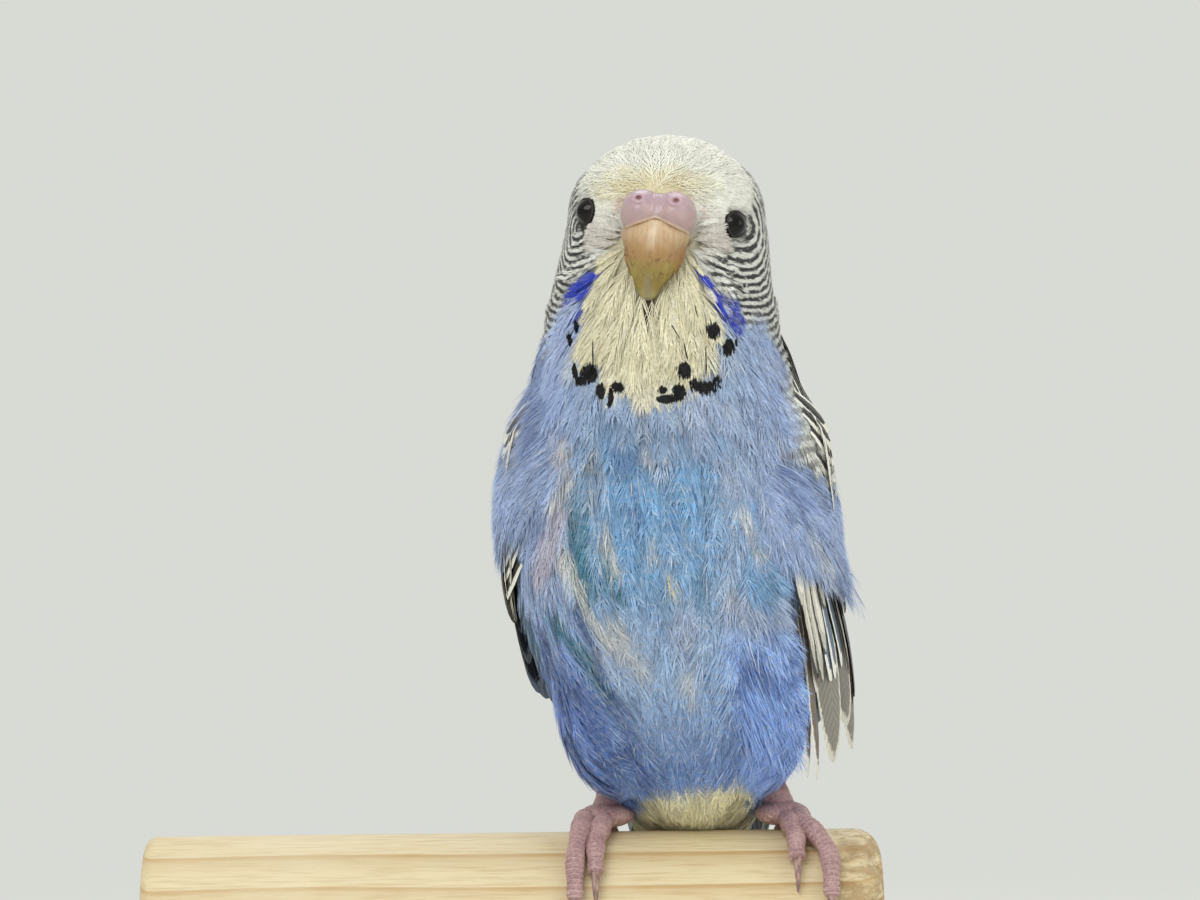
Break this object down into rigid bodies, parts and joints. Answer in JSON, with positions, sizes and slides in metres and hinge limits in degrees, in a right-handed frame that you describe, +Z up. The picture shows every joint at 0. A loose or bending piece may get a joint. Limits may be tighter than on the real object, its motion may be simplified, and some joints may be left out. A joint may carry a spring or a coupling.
{
  "type": "budgerigar",
  "caption": "Still life-size budgerigar with blue body plumage, gripping a short wooden perch on a plain display stand.",
  "frame": {"origin": "middle of the underside of the stand's base", "axes": "+Z up; the bird looks along -Y and its left side is at +X; the perch runs along X"},
  "size_m": [0.116, 0.096, 0.1841],
  "materials": {
    "face_plumage": "soft matt feathers, white with fine black bars",
    "body_plumage": "soft matt feathers, sky blue to violet",
    "wing_plumage": "dark feathers with pale edges",
    "tail_plumage": "dark blue feathers with a light sheen",
    "cere": "smooth waxy skin",
    "bill": "polished horn",
    "eye": "wet and glossy",
    "foot_skin": "scaly skin, satin",
    "claw": "polished horn",
    "perch_wood": "bare planed pine",
    "stand_wood": "dark stained, satin",
    "stand_metal": "brushed"
  },
  "bodies": {
    "root": {"head": "face_plumage", "neck": "face_plumage", "torso": "body_plumage", "rump": "body_plumage", "thigh_left": "body_plumage", "thigh_right": "body_plumage", "wing_left": "wing_plumage", "wing_right": "wing_plumage", "tail": "tail_plumage", "cere": "cere", "bill_upper": "bill", "bill_lower": "bill", "eye_left": "eye", "eye_right": "eye", "shank_left": "foot_skin", "shank_right": "foot_skin", "toe_left_1": "foot_skin", "toe_left_2": "foot_skin", "toe_left_3": "foot_skin", "toe_left_4": "foot_skin", "toe_right_1": "foot_skin", "toe_right_2": "foot_skin", "toe_right_3": "foot_skin", "toe_right_4": "foot_skin", "claw_left_1": "claw", "claw_left_2": "claw", "claw_left_3": "claw", "claw_left_4": "claw", "claw_right_1": "claw", "claw_right_2": "claw", "claw_right_3": "claw", "claw_right_4": "claw", "perch": "perch_wood", "stand_base": "stand_wood", "stand_rod_left": "stand_metal", "stand_rod_right": "stand_metal"}
  },
  "joints": []
}
